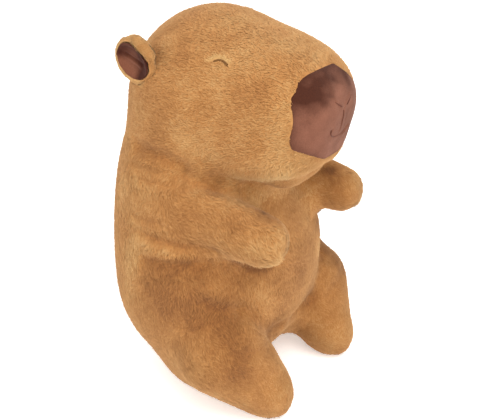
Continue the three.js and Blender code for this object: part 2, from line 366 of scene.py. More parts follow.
shells = [(drawn, body_edges, body_faces, body_part, np.zeros(len(drawn), bool))]
for ear in EARS:
    points, edges, faces = remeshed([ear], EAR_CELL, EAR_OVERLAP)
    folded = points @ EAR_FOLD_ACROSS - EAR_FOLD_PLACE
    from_lining = distance_to_node(points, ear.replace("ear", "ear_lining"))
    lined = (from_lining < EAR_LINED[0]) & (folded < EAR_LINED[1])
    from_body = np.array([body_tree.find_nearest(p)[3] for p in points.tolist()])
    points = eased(points, edges, EAR_EASING)
    full = EAR_FOLD_FULL[ear] * np.clip(folded / EAR_FOLD_WIDTH, 0, 1)
    ear_depth = FUR_DEPTH["ear"] * MM * np.clip(from_body / EAR_ROOT, EAR_DEPTH_LEAST, 1) - full
    points = points - point_normals(points, faces) * blended(ear_depth, edges, DEPTH_ROUNDS)[:, None]
    hidden = lined | inside_of(points, surface_tree(drawn, body_faces))
    shells.append((points, edges, faces, np.full(len(points), "ear"), hidden))
    shells[0][4][:] |= inside_of(drawn, surface_tree(points, faces))

starts = np.cumsum([0] + [len(shell[0]) for shell in shells])
skin_points = np.vstack([shell[0] for shell in shells])
skin_edges = np.vstack([shell[1] + start for shell, start in zip(shells, starts)])
skin_faces = np.vstack([shell[2] + start for shell, start in zip(shells, starts)])
skin_part = np.concatenate([shell[3] for shell in shells])
skin_hidden = np.concatenate([shell[4] for shell in shells])
skin_normals = point_normals(skin_points, skin_faces)

skin = mesh_piece("stuffed_skin", skin_points, skin_faces)
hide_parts(*FLESH, *EARS)
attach(skin, "root")


# The plush's dye, which skin and fur share: one warm tan, a little lighter and darker where the pile was
# brushed one way or the other, and pale where it is parted over the eyes. Painted light and painted shade go
# into the same colour: lighter where light falls on the top of the head, under the chin and jaw, on the belly
# and along rims and ridges, and darker in the creases and in lines under what hangs over them. The fur is
# darker at its roots and pale at its tips, and it has a soft sheen.
FUR_COLOUR = (0.384, 0.159, 0.040, 1)
STRAND_COLOURS = ((0.0, (0.270, 0.100, 0.023, 1)), (0.45, FUR_COLOUR), (1.0, (0.452, 0.213, 0.068, 1)))
BRUSHED_AND_PAINTED_SHADES = (
    (0.0, (0.44, 0.32, 0.21, 1)),
    (0.2, (0.69, 0.59, 0.47, 1)),
    (0.5, (1.0, 1.0, 1.0, 1)),
    (1.0, (1.40, 1.90, 2.70, 1)),
)
PATCH_SHADES = ((0.3, (0.96, 0.95, 0.93, 1)), (0.7, (1.04, 1.05, 1.06, 1)))
PLUSH_ROUGHNESS = 0.9
PLUSH_SPECULAR = 0.15
PLUSH_SHEEN = (0.2, 0.8, (1.0, 0.80, 0.52, 1))
PATCH_SIZE = 26 * MM
KNIT = (1.4 * MM, 2.0, 0.6 * MM)
BUMP_STRENGTH = 0.5
SKIN_ALONG = 0.4
BRUSHED_SIZE = 34 * MM
BRUSHED_RIPPLES = ((BRUSHED_SIZE, 0.07, 5), (9 * MM, 0.05, 6))
RIPPLE_WAVES = 14
RIPPLE_RANGE = (0.6, 1.5)
LID = [
    (-56.7, -19.5, 317.1),
    (-55.4, -21.3, 318.2),
    (-54.4, -23.6, 318.8),
    (-53.9, -26.1, 318.6),
    (-54.0, -28.6, 317.9),
    (-54.6, -30.9, 316.7),
    (-54.4, -31.8, 314.6),
]
BROW = [
    (-56.3, -15.6, 318.2),
    (-54.5, -17.6, 319.7),
    (-52.4, -21.6, 320.4),
    (-51.3, -26.3, 320.0),
    (-51.6, -30.6, 318.4),
]
BROW_WIDTH = 2.2 * MM
BROW_LIGHT = 0.5

# Strokes in which the pile was brushed up, and looks light, or down, and looks dark, and strokes of painted
# light and painted shade: painted light on the top of the head, under the chin and jaw, on the belly and
# along the rims of the back and the paw, and painted shade on the inner thigh and at the root of the far arm.
# Each is the stroke and its width in millimetres, and how much lighter or darker it is. They are given for
# the toy's right and are on both sides.
BRUSHED_AND_PAINTED_STROKES = (
    ([(0, -30, 300)], 75, 0.10),
    ([(-60, 5, 318), (-34, 26, 341)], 12, -0.15),
    ([(-55, -64, 298)], 15, -0.18),
    ([(-79, 17, 288), (-80, 30, 240)], 12, -0.12),
    ([(-19, -62, 329), (-4, -60, 333)], 15, 0.05),
    ([(-18, -12, 342)], 10, 0.05),
    ([(-66, -40, 280)], 16, 0.05),
    ([(-76, 0, 251), (-66, -24, 241), (-58, -43, 231)], 9, 0.12),
    ([(-50, -84, 281), (-48, -84, 260), (-44, -83, 237)], 12, 0.13),
    ([(-56, -60, 236), (-40, -85, 233), (-20, -97, 232)], 13, 0.17),
    ([(-58, -44, 209), (-32, -51, 202), (0, -56, 198)], 12, 0.13),
    ([(-38, -61, 178)], 16, 0.14),
    ([(-95, 38, 205), (-106, 30, 158), (-109, 34, 120)], 15, 0.20),
    ([(0, 90, 200), (0, 95, 100)], 70, 0.06),
    ([(-93, -18, 192), (-80, -60, 200)], 13, -0.14),
    ([(-88, -66, 180), (-85, -88, 182)], 10, 0.12),
    ([(-70, -95, 192)], 16, 0.14),
    ([(-108, 0, 140), (-86, -40, 147), (-60, -58, 144)], 14, -0.24),
    ([(-112, -8, 112), (-102, -25, 112), (-92, -45, 108)], 23, -0.36),
    ([(-50, -68, 117)], 11, 0.24),
    ([(0, -76, 120)], 32, -0.18),
    ([(-33, -71, 72)], 13, -0.26),
    ([(-88, -66, 90), (-100, -77, 64)], 16, -0.32),
    ([(-85, -60, 70)], 45, -0.03),
    ([(-62, -106, 30), (-40, -99, 22)], 14, 0.12),
    ([(-44, -84, 182), (-58, -82, 205)], 16, -0.12),
    ([(-55, -40, 220), (-46, -60, 220), (-40, -80, 227)], 6.5, 0.42),
    ([(-84, -43, 161), (-80, -60, 158), (-77, -78, 158), (-73, -92, 165), (-70, -99, 174)], 4.5, 0.26),
    ([(-86, 60, 235), (-88, 64, 215), (-92, 64, 190)], 8, 0.16),
    ([(-80, 60, 318), (-79.5, 63.5, 309), (-78, 57, 299), (-77, 50, 295), (-76, 42, 293)], 5, 0.38),
    ([(-78, 58, 324), (-76, 48, 331), (-74, 38, 329), (-73, 31, 323)], 8, 0.26),
)
BRUSHED_AND_PAINTED_LEAST = 0.17

# Lines of pile that lie in the shade of what hangs over them, in the same terms and on that side or both:
# under the arm's fringe, and where the arm meets the jaw. The creases are such lines, a little narrower than
# they are drawn in.
CREASE_SHADE = 0.75
SHADED = (
    (
        [(-78, -51, 157), (-67, -57, 151), (-55, -61, 143), (-46, -66, 139), (-36, -71, 138)],
        3.6, -0.46, "right",
    ),
    ([(-54, -70, 202), (-51, -66, 209)], 7, -0.45, "both"),
)


def ripple(places, size, seed):
    """Soft hills and hollows about this size apart, from -1 to 1, made of waves in seeded directions."""
    draw = np.random.default_rng(seed)
    total = np.zeros(len(places))
    for _ in range(RIPPLE_WAVES):
        direction = draw.normal(size=3)
        direction *= 2 * math.pi * draw.uniform(*RIPPLE_RANGE) / (size * np.linalg.norm(direction))
        total += np.sin(places @ direction + draw.uniform(0, 2 * math.pi))
    return np.clip(total / math.sqrt(RIPPLE_WAVES), -1, 1)


def brushed_tone(places):
    """How light the pile looks at each place, from 0 to 1, by the way it was brushed and by the painted light
    and painted shade laid over it: darker in the creases and under what hangs over them.
    """
    tone = np.full(len(places), 0.5)
    for size, amount, seed in BRUSHED_RIPPLES:
        tone += amount * ripple(places, size, seed)
    right_side = on_right(places)
    for route, width, amount in BRUSHED_AND_PAINTED_STROKES:
        tone += amount * nearness(right_side, on_side(route, 1), width * MM)
    tone = np.maximum(tone, BRUSHED_AND_PAINTED_LEAST)
    creases = [(route, CREASE_SHADE * width, -darker, sides) for route, _, width, darker, sides in CREASES]
    for route, width, amount, sides in [*SHADED, *creases]:
        mine = (places[:, 0] < 0) | (sides == "both")
        tone += mine * amount * nearness(right_side, on_side(route, 1), width * MM)
    for flip in (1, -1):
        tone += BROW_LIGHT * nearness(places, on_side(BROW, flip), BROW_WIDTH)
    return tone


def add_values(piece, **values):
    """Stores numbers on a piece's points, for its material to read."""
    for name, numbers in values.items():
        layer = piece.data.attributes.new(name, "FLOAT", "POINT")
        layer.data.foreach_set("value", np.asarray(numbers, np.float32))


def group_with(name, inputs, outputs):
    """An empty node group with these inputs and outputs, each a name, a socket type and a starting value."""
    group = bpy.data.node_groups.new(name, "ShaderNodeTree")
    for label, kind, value in inputs:
        group.interface.new_socket(label, in_out="INPUT", socket_type=kind).default_value = value
    for label, kind in outputs:
        group.interface.new_socket(label, in_out="OUTPUT", socket_type=kind)
    return group, group.nodes.new("NodeGroupInput"), group.nodes.new("NodeGroupOutput")


def noise_node(tree, size, detail=3.0, roughness=0.55, distortion=0.0):
    """A noise about this size across, in metres, fixed to the toy."""
    place = tree.nodes.new("ShaderNodeTexCoord")
    noise = tree.nodes.new("ShaderNodeTexNoise")
    noise.inputs["Scale"].default_value = 1 / size
    noise.inputs["Detail"].default_value = detail
    noise.inputs["Roughness"].default_value = roughness
    noise.inputs["Distortion"].default_value = distortion
    tree.links.new(place.outputs["Object"], noise.inputs["Vector"])
    return noise


def ramp_node(tree, value, stops):
    """Turns a value into a colour, through stops of a position and a colour."""
    ramp = tree.nodes.new("ShaderNodeValToRGB")
    marks = ramp.color_ramp.elements
    while len(marks) < len(stops):
        marks.new(0.5)
    for mark, (position, colour) in zip(marks, stops):
        mark.position = position
        mark.color = colour
    tree.links.new(value, ramp.inputs["Fac"])
    return ramp


def multiplied(tree, one, other):
    """Two colours multiplied with each other."""
    mix = tree.nodes.new("ShaderNodeMix")
    mix.data_type = "RGBA"
    mix.blend_type = "MULTIPLY"
    mix.inputs[0].default_value = 1.0
    tree.links.new(one, mix.inputs[6])
    tree.links.new(other, mix.inputs[7])
    return mix.outputs[2]


def bumped(tree, shader, size, detail, distance):
    """Gives a material a fine relief of grains about this size across and this high."""
    bump = tree.nodes.new("ShaderNodeBump")
    bump.inputs["Strength"].default_value = BUMP_STRENGTH
    bump.inputs["Distance"].default_value = distance
    tree.links.new(noise_node(tree, size, detail).outputs["Fac"], bump.inputs["Height"])
    tree.links.new(bump.outputs["Normal"], shader.inputs["Normal"])


def with_sheen(shader, specular, weight, roughness, tint):
    """Gives cloth little gloss and a soft sheen."""
    shader.inputs["Specular IOR Level"].default_value = specular
    shader.inputs["Sheen Weight"].default_value = weight
    shader.inputs["Sheen Roughness"].default_value = roughness
    shader.inputs["Sheen Tint"].default_value = tint


def read_value(tree, name):
    """What a piece's points hold under this name."""
    read = tree.nodes.new("ShaderNodeAttribute")
    read.attribute_name = name
    return read.outputs["Fac"]


def plush_dye():
    """The colour of the plush from how far along the fur a place is and how the pile was brushed there, with
    the painted light and painted shade that its tone holds.
    """
    group, given, result = group_with(
        "plush_dye",
        [("Along", "NodeSocketFloat", 0.0), ("Tone with painted light", "NodeSocketFloat", 0.5)],
        [("Color", "NodeSocketColor")],
    )
    strand = ramp_node(group, given.outputs["Along"], STRAND_COLOURS)
    shade = ramp_node(group, given.outputs["Tone with painted light"], BRUSHED_AND_PAINTED_SHADES)
    tint = multiplied(group, strand.outputs["Color"], shade.outputs["Color"])
    patches = ramp_node(group, noise_node(group, PATCH_SIZE, 2.0).outputs["Fac"], PATCH_SHADES)
    group.links.new(multiplied(group, tint, patches.outputs["Color"]), result.inputs["Color"])
    return group


def plush_finish(name, dye):
    """The material of the skin and the fur, which reads the place along the fur from the piece's points."""
    material, shader, tree = finish_of(name, FUR_COLOUR, PLUSH_ROUGHNESS)
    with_sheen(shader, PLUSH_SPECULAR, *PLUSH_SHEEN)
    colour = tree.nodes.new("ShaderNodeGroup")
    colour.node_tree = dye
    tree.links.new(read_value(tree, "along"), colour.inputs["Along"])
    tree.links.new(read_value(tree, "brushed"), colour.inputs["Tone with painted light"])
    tree.links.new(colour.outputs["Color"], shader.inputs["Base Color"])
    return material, shader, tree


dye = plush_dye()
skin_finish, skin_shader, skin_tree = plush_finish("plush_backing", dye)
bumped(skin_tree, skin_shader, *KNIT)
skin.data.materials.append(skin_finish)
# The skin's tone holds the brushing together with the painted light and painted shade.
add_values(skin, along=np.full(len(skin_points), SKIN_ALONG), brushed=brushed_tone(skin_points))


# The nose: a panel of short brown velour, sewn into the front of the muzzle with its edge turned under and
# hidden by the fur around it. It was brushed by hand, so the nap lies darker in strokes, and the seams of the
# nostrils and mouth pull furrows into it.
NOSE_CELL = 1.3 * MM
NOSE_NAP = 0.2 * MM
NOSE_EASING = 14
NOSE_SQUARENESS = 3
IN_FRONT = -0.3

# The panel's border is a rounded square, cut at its corners and sides by straight lines seen from the front:
# a place on each (X, Z), in millimetres, and the way out of the panel there. They hold on both sides, but for
# the overhang, where fur falls over more of the upper corner on the toy's left.
NOSE_CORNERS = (
    ((39.8, 303.6), (0.786, 0.618)),
    ((29.4, 311.6), (0.363, 0.932)),
    ((43.5, 255), (0.42, -0.91)),
    ((46.4, 280), (1, 0)),
)
NOSE_OVERHANG = ((10, 312.5), (0.62, 0.785))
NOSTRIL = [(-4, 284.3), (-9, 287.6), (-13.5, 291)]
LIP = [(-0.5, 281.5), (-0.8, 276), (-1, 270), (-1, 263.5)]
SMILE = [(-14.2, 267.4), (-14.7, 264.2), (-8.6, 260.2), (-1.6, 259.2), (5, 259.8), (11, 263)]
FURROW_STEPS = 6
FURROW_DEPTH = 0.8 * MM
FURROW_WIDTH = 1.9 * MM
NOSE_EDGE_SINK = 3.0 * MM
NOSE_EDGE_START = 0.8 * MM
NOSE_EDGE_WIDTH = 2.4 * MM

# Brush strokes on the velour, seen from the front (X, Z) in millimetres: the stroke, its width, and how much
# darker the nap lies there. The stroke down the toy's left side of the panel is painted shade, and painted
# shade darkens the nap along the turned edge too.
NOSE_STROKES = (
    ([(-38, 298), (-26, 307), (-12, 311), (4, 311), (10, 307)], 9.5, 0.40),
    ([(-26, 304), (-15, 303), (-20, 297)], 7, 0.24),
    ([(-37, 301), (-30, 297), (-25, 292)], 4.5, 0.26),
    ([(-40, 297), (-38, 287)], 7, 0.22),
    ([(-7, 306), (3, 301)], 2.0, 0.18),
    ([(-30, 301), (-18, 296), (-12, 293)], 2.5, 0.14),
    ([(-14, 290), (-8, 297), (-1, 301)], 4.5, -0.12),
    ([(13, 302), (18, 288), (20, 270), (20, 256)], 6, 0.24),
    ([(6, 277), (8, 268), (7, 259)], 5.5, 0.22),
    ([(-42, 258), (-24, 250), (0, 249)], 4, 0.08),
)
NOSE_TONE = 0.56
NOSE_RIPPLE = (14 * MM, 0.05, 31)
NOSE_EDGE_PAINTED_SHADE = 0.22
NOSE_EDGE_SHADE = 2.2 * MM
VELOUR_ROUGHNESS = 0.85
VELOUR_SPECULAR = 0.1
VELOUR_SHEEN = (0.08, 0.6, (1.0, 0.72, 0.60, 1))
VELOUR_VARIETY = 0.35
VELOUR_CLOUDS = (9 * MM, 4.0, 0.6, 0.6)
VELOUR_GRAIN = (1.1 * MM, 2.0)
VELOUR_GRAIN_SHADES = ((0.3, (0.88, 0.88, 0.88, 1)), (0.7, (1.10, 1.10, 1.10, 1)))
VELOUR_NAP = (0.9 * MM, 3.0, 0.4 * MM)
VELOUR_LIGHT = (0.190, 0.074, 0.045, 1)
VELOUR_DARK = (0.050, 0.013, 0.006, 1)


def velour_finish(name, light, dark):
    """Short velour: a dense nap that is light or dark by the way it was last brushed, and by the painted
    light and painted shade that the piece's points hold, with soft sheen.
    """
    material, shader, tree = finish_of(name, light, VELOUR_ROUGHNESS)
    with_sheen(shader, VELOUR_SPECULAR, *VELOUR_SHEEN)
    strokes = tree.nodes.new("ShaderNodeMath")
    strokes.operation = "MULTIPLY_ADD"
    strokes.inputs[1].default_value = VELOUR_VARIETY
    tree.links.new(noise_node(tree, *VELOUR_CLOUDS).outputs["Fac"], strokes.inputs[0])
    tree.links.new(read_value(tree, "brushed"), strokes.inputs[2])
    colours = ramp_node(tree, strokes.outputs["Value"], [(0.15, dark), (0.85, light)])
    grain = ramp_node(tree, noise_node(tree, *VELOUR_GRAIN).outputs["Fac"], VELOUR_GRAIN_SHADES)
    colour = multiplied(tree, colours.outputs["Color"], grain.outputs["Color"])
    tree.links.new(colour, shader.inputs["Base Color"])
    bumped(tree, shader, *VELOUR_NAP)
    return material


def dropped_back(tree, route):
    """Points given from the front (X, Z), laid on a surface behind them, and the way it faces there."""
    found = [tree.ray_cast((x * MM, IN_FRONT, z * MM), (0, 1, 0)) for x, z in route]
    return np.array([f[0] for f in found]), np.array([f[1] for f in found])


def curved(route, steps):
    """A smooth route through a few points."""
    route = np.asarray(route)
    ends = np.vstack([2 * route[0] - route[1], route, 2 * route[-1] - route[-2]])
    found = []
    for n in range(len(route) - 1):
        a, b, c, d = ends[n : n + 4]
        for t in np.arange(steps) / steps:
            bend = 2 * a - 5 * b + 4 * c - d
            found.append(0.5 * (2 * b + (c - a) * t + bend * t**2 + (3 * b - a - 3 * c + d) * t**3))
    return np.array(found + [route[-1]])


def within_nose(places):
    """How far inside the panel's border each place is, seen from the front, and less than zero outside."""
    x, z = np.abs(places[:, 0]), places[:, 2]
    part = np.stack([x, np.abs(z - nose_middle[2])], 1) / nose_half[[0, 2]]
    border = (1 - (part**NOSE_SQUARENESS).sum(1) ** (1 / NOSE_SQUARENESS)) * nose_half[2]
    for (cut_x, cut_z), (out_x, out_z) in NOSE_CORNERS:
        border = np.minimum(border, (cut_x * MM - x) * out_x + (cut_z * MM - z) * out_z)
    (cut_x, cut_z), (out_x, out_z) = NOSE_OVERHANG
    return np.minimum(border, (cut_x * MM - places[:, 0]) * out_x + (cut_z * MM - z) * out_z)


nose_low, nose_high = (np.array(corner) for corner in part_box("nose"))
nose_middle = (nose_low + nose_high) / 2
nose_half = (nose_high - nose_low) / 2
nose_points, nose_edges, nose_faces = remeshed(STITCHED[:1] + STITCHED[3:], NOSE_CELL, SKIN_OVERLAP)
nose_points = eased(nose_points, nose_edges, NOSE_EASING)
nose_normals = point_normals(nose_points, nose_faces)
nose_front = surface_tree(nose_points, nose_faces)
nose_routes = {
    "nostril_right": NOSTRIL,
    "nostril_left": [(-x, z) for x, z in NOSTRIL],
    "lip_seam": LIP,
    "mouth": SMILE,
}
nose_lines = {}
furrow = np.zeros(len(nose_points))
for name, route in nose_routes.items():
    places, facing = dropped_back(nose_front, route)
    nose_lines[name] = (places, facing)
    furrow = np.maximum(furrow, nearness(nose_points, curved(places, FURROW_STEPS), FURROW_WIDTH))
turned_under = np.clip((NOSE_EDGE_START - within_nose(nose_points)) / NOSE_EDGE_WIDTH, 0, 1)
sunk = NOSE_NAP + FURROW_DEPTH * furrow + NOSE_EDGE_SINK * turned_under**2
nose_points = nose_points - nose_normals * sunk[:, None]

size, amount, seed = NOSE_RIPPLE
brushed_nose = NOSE_TONE + amount * ripple(nose_points, size, seed)
flat = nose_points * (1, 0, 1)
for route, width, darker in NOSE_STROKES:
    line = np.array([(x * MM, 0, z * MM) for x, z in route])
    brushed_nose -= darker * nearness(flat, line, width * MM)
# Painted shade along the panel's turned-under edge.
inside_edge = np.clip(within_nose(nose_points), 0, 1)
brushed_nose -= NOSE_EDGE_PAINTED_SHADE * np.exp(-((inside_edge / NOSE_EDGE_SHADE) ** 2))
nose = mesh_piece("nose_panel", nose_points, nose_faces)
add_values(nose, brushed=brushed_nose)
nose.data.materials.append(velour_finish("nose_velour", VELOUR_LIGHT, VELOUR_DARK))
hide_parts("nose")
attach(nose, "root")


# The stitching: embroidery thread, laid in the furrows of the nose and in an arch over each closed eye. Each
# line is a twisted thread, sunk into the cloth by this much at its two ends.
NOSE_THREAD = 0.5 * MM
NOSE_THREAD_SINK = {
    "nostril_right": (0.75 * MM, 0.9 * MM),
    "nostril_left": (0.75 * MM, 0.9 * MM),
    "lip_seam": (0.75 * MM, 1.3 * MM),
    "mouth": (0.7 * MM, 1.6 * MM),
}
EYE_THREAD = 0.9 * MM
EYE_THREAD_SINK = (0.9 * MM, 0.9 * MM)
THREAD_SIDES = 8
THREAD_STEPS = 8
THREAD_TAPER = 2.5
THREAD_LEAST = 0.02
THREAD_TWIST = 0.16
THREAD_TURN = 2.6 * MM
THREAD_ROUGHNESS = 0.7
THREAD_SPECULAR = 0.2
THREAD_FIBRES = (0.8 * MM, 3.0)
EYE_THREAD_COLOURS = ((0.090, 0.036, 0.008, 1), (0.190, 0.085, 0.022, 1))
NOSE_THREAD_COLOURS = ((0.070, 0.020, 0.011, 1), (0.140, 0.048, 0.028, 1))


def thread(name, route, radius, up):
    """A twisted thread along a route, with rounded ends."""
    route = curved(route, THREAD_STEPS)
    along = unit(np.gradient(route, axis=0))
    side = unit(np.cross(along, up))
    top = np.cross(side, along)
    length = np.concatenate([[0], np.cumsum(np.linalg.norm(np.diff(route, axis=0), axis=1))])
    ends = np.minimum(length, length[-1] - length)
    taper = np.sqrt(np.clip(1 - (1 - np.clip(ends / (THREAD_TAPER * radius), 0, 1)) ** 2, THREAD_LEAST, 1))
    rings = []
    for n in range(THREAD_SIDES):
        angle = 2 * math.pi * n / THREAD_SIDES
        twist = 1 + THREAD_TWIST * np.sin(2 * angle + 2 * math.pi * length / THREAD_TURN)
        reach = (radius * taper * twist)[:, None]
        rings.append(route + reach * (math.cos(angle) * side + math.sin(angle) * top))
    points = np.stack(rings, 1).reshape(-1, 3)
    ring = np.arange(THREAD_SIDES)
    faces = []
    for n in range(len(route) - 1):
        low, high = n * THREAD_SIDES + ring, (n + 1) * THREAD_SIDES + ring
        faces += list(zip(low, np.roll(low, -1), np.roll(high, -1), high))
    start, end = len(points), len(points) + 1
    points = np.vstack([points, route[0], route[-1]])
    last = (len(route) - 1) * THREAD_SIDES + ring
    caps = [(start, b, a) for a, b in zip(ring, np.roll(ring, -1))]
    caps += [(end, a, b) for a, b in zip(last, np.roll(last, -1))]
    quads = np.array(faces)
    triangles = np.vstack([quads[:, [0, 1, 2]], quads[:, [0, 2, 3]], np.array(caps)])
    return mesh_piece(name, points, triangles)


def thread_finish(name, dark, light):
    """Satin thread whose fibres are darker and lighter."""
    material, shader, tree = finish_of(name, light, THREAD_ROUGHNESS)
    shader.inputs["Specular IOR Level"].default_value = THREAD_SPECULAR
    fibres = ramp_node(tree, noise_node(tree, *THREAD_FIBRES).outputs["Fac"], [(0.3, dark), (0.7, light)])
    tree.links.new(fibres.outputs["Color"], shader.inputs["Base Color"])
    return material


eye_thread = thread_finish("eye_thread", *EYE_THREAD_COLOURS)
nose_thread = thread_finish("nose_thread", *NOSE_THREAD_COLOURS)
body_front = surface_tree(drawn, body_faces)
eye_lines = [on_side(LID, flip) for flip in (1, -1)]
stitched = {name: (*line, NOSE_THREAD, NOSE_THREAD_SINK[name]) for name, line in nose_lines.items()}
for side, line in zip(("right", "left"), eye_lines):
    facing = np.array([body_front.find_nearest(p)[1] for p in line.tolist()])
    stitched[f"eye_{side}"] = (line, facing, EYE_THREAD, EYE_THREAD_SINK)
for name, (line, facing, radius, sink) in stitched.items():
    deeper = np.linspace(*sink, len(line))[:, None]
    stitches = thread(f"{name}_thread", line - deeper * facing, radius, facing.mean(0))
    stitches.data.materials.append(eye_thread if name.startswith("eye") else nose_thread)
    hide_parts(name)
    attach(stitches, "root")


# The ear linings: the same velour as the nose, sewn into the hollow of each ear and creased once along its
# length where the ear was folded to sew it to the head.
LINING_CELL = 0.8 * MM
LINING_EASING = 6
LINING_TONE = 0.52
LINING_RIPPLE = (12 * MM, 0.06, 3)
LINING_SINK = 3 * MM
LINING_LIGHT = (0.175, 0.062, 0.034, 1)
LINING_DARK = (0.038, 0.006, 0.002, 1)
LINING_FOLD = [(-77, 54, 313.5), (-76, 48.9, 310.7), (-75.5, 45, 308.7), (-76, 40, 306.5)]
LINING_GROOVE = [(-77.5, 52.5, 316), (-76.3, 47.3, 313), (-75.8, 42.4, 311), (-77, 36.8, 309)]
# Painted shade and light on the lining: the stroke for the toy's right, in millimetres, its width, and how
# much darker it is painted, or lighter where the number is less than zero. It is darker where the hollow lies
# in shade and in the groove, and a painted highlight runs along the fold.
LINING_PAINTED_SHADE_AND_LIGHT = (
    ([(-82, 58, 323), (-81, 53, 322), (-80, 56.5, 317)], 6.0, 0.55),
    ([(-82, 45, 325), (-80, 38, 320), (-79, 33, 313)], 5.0, 0.40),
    ([(-79, 36, 312), (-78, 35, 305), (-77, 37, 298)], 7.5, 0.70),
    ([(-78, 60, 308), (-77, 54, 302), (-76, 48, 299)], 5.0, -0.34),
    (LINING_GROOVE, 1.6, 0.2),
    (LINING_FOLD, 1.3, -0.2),
)

# How far the fold stands up and the groove lies in, and how wide both are, in millimetres.
LINING_FOLDS = ((LINING_FOLD, 0.9, 1.5), (LINING_GROOVE, -1.0, 1.5))
LINING_SINK_START = 0.3

lining_finish = velour_finish("ear_velour", LINING_LIGHT, LINING_DARK)
for side, flip in (("right", 1), ("left", -1)):
    points, edges, faces = remeshed([f"ear_lining_{side}"], LINING_CELL, EAR_OVERLAP)
    points = eased(points, edges, LINING_EASING)
    normals = point_normals(points, faces)
    outer = normals[:, 0] * flip < 0
    folded = points @ EAR_FOLD_ACROSS - EAR_FOLD_PLACE
    sunk = outer * LINING_SINK * np.clip(folded / EAR_FOLD_WIDTH + LINING_SINK_START, 0, 1)
    points = points - normals * sunk[:, None]
    for route, raised, width in LINING_FOLDS:
        raised_here = outer * raised * MM * nearness(points, on_side(route, flip), width * MM)
        points = points + normals * raised_here[:, None]
    size, amount, seed = LINING_RIPPLE
    brushed = LINING_TONE + amount * ripple(points, size, seed)
    for route, width, darker in LINING_PAINTED_SHADE_AND_LIGHT:
        brushed -= darker * nearness(points, on_side(route, flip), width * MM)
    lining = mesh_piece(f"ear_{side}_lining", points, faces)
    add_values(lining, brushed=brushed)
    lining.data.materials.append(lining_finish)
    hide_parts(f"ear_lining_{side}")
    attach(lining, "root")


# The fur: dense, soft pile, five to six millimetres long and shorter on the face, ears and feet. It lies back
# from the nose over the head, down the body and out along the limbs, in patches that were brushed this way
# and that. Low locks of pile lie over one another like thatch, and finer tips stand up between them.
FUR_SEED = 11
LOCKS = 211000
LOCK_LENGTH = {"torso": 5.8, "head": 4.7, "arm": 5.3, "leg": 5.3, "ear": 2.4, "nose": 3.6}
LOCK_WIDTH = {"torso": 1.1, "head": 0.95, "arm": 1.0, "leg": 1.05, "ear": 0.7, "nose": 0.85}
LOCK_HEIGHT = 0.38
LOCK_CREST = 0.45
LOCK_LIFT = (0.05, 0.04)
LOCK_LIFT_RANGE = (-0.05, 0.2)
LAYERS = (-0.2 * MM, 0.7 * MM)
ROOT_SINK = 0.4 * MM
TIPS = 42000
TIP_LENGTH = 0.5
TIP_WIDTH = 0.34
TIP_DEPTH = 0.8
TIP_STAND = (1.15, 0.2)
TIP_STAND_RANGE = (0.4, 1.5)
LENGTH_SPREAD = (0.75, 1.2)
LOCK_WIDTH_SPREAD = (0.75, 1.25)
TIP_WIDTH_SPREAD = (0.8, 1.2)
SWIRL_RIPPLES = ((BRUSHED_SIZE, 0.40, 21), (13 * MM, 0.25, 22))
SWIRL_SPREAD = 0.20
FOOT_LENGTH = 0.8
FOOT_START = 50 * MM
FOOT_REACH = 30 * MM
FACING = (0.85, 0.15)
TONE_SPREAD = 0.06
# Painted light: pile that lies upward is made this much lighter, as if it caught the light from above.
LIE_PAINTED_LIGHT = 0.05
CHART_PATCH = 0.003
CHART_MARGIN = 0.02
TABLE_CLEAR = 0.3 * MM
EYE_CLEAR = (1.0 * MM, 4.5 * MM)
EYE_LENGTH_LEAST = 0.2

# Which way the pile lies on the body, on the limbs and where it hangs, and over how many rounds that and its
# size are evened out.
LIE_ON_BODY = (0.0, -0.1, -1.0)
LIE_ON_LIMBS = {"arm": (0, -0.9, -0.35), "leg": (0, -0.8, -0.6)}
LIE_HANGING = (0, -0.4, -2)
LIE_ROUNDS = 12
SIZE_ROUNDS = 8

# Where the coat is cut into regions, and how raggedly it ends at the nose panel.
CHEST_BACK = 12 * MM
FACE_BACK = -20 * MM
RAGGED_START = 0.9 * MM
RAGGED_RIPPLE = (5 * MM, 0.6 * MM, 41)

# Where the pile hangs down in longer locks, under the chin and along the lower edge of the arm: the line, its
# width in millimetres and how much longer the locks are there.
HANGING = (
    ([(-58, -38, 226), (-50, -60, 227), (-45, -77, 231), (-34, -90, 235)], 6, 1.2),
    ([(-86, -43, 165), (-82, -60, 164), (-80, -76, 165), (-76, -90, 171), (-73, -98, 178)], 5, 1.0),
)

fur_finish = plush_finish("plush_fur", dye)[0]


def lie_of_fur(points, normals):
    """The way that the pile lies at each point of the skin, along the skin."""
    nose_tip = np.array([0, nose_low[1], nose_middle[2]])
    lie = np.tile(LIE_ON_BODY, (len(points), 1))
    for name, way in LIE_ON_LIMBS.items():
        lie[skin_part == name] = way
    on_head = (skin_part == "head") | (skin_part == "nose")
    lie[on_head] = unit(points[on_head] - nose_tip)
    for ear in EARS:
        low, high = (np.array(corner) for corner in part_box(ear.replace("ear", "ear_lining")))
        mine = (skin_part == "ear") & (points[:, 0] * low[0] > 0)
        lie[mine] = unit(points[mine] - (low + high) / 2)
    lie = unit(blended(lie, skin_edges, LIE_ROUNDS))
    lie = lie + hanging[:, None] * LIE_HANGING
    return unit(lie - normals * (lie * normals).sum(1, keepdims=True))


hanging = np.zeros(len(skin_points))
hanging_length = np.ones(len(skin_points))
for route, width, longer in HANGING:
    near = nearness(on_right(skin_points), on_side(route, 1), width * MM)
    hanging = np.maximum(hanging, near)
    hanging_length += longer * near
skin_lie = lie_of_fur(skin_points, skin_normals)
lock_length = np.vectorize(LOCK_LENGTH.get)(skin_part) * MM
towards_toes = np.clip((-skin_points[:, 1] - FOOT_START) / FOOT_REACH, 0, 1) * (skin_part == "leg")
lock_length = blended(lock_length * (1 - (1 - FOOT_LENGTH) * towards_toes), skin_edges, SIZE_ROUNDS)
lock_length *= hanging_length
lock_width = blended(np.vectorize(LOCK_WIDTH.get)(skin_part) * MM, skin_edges, SIZE_ROUNDS)

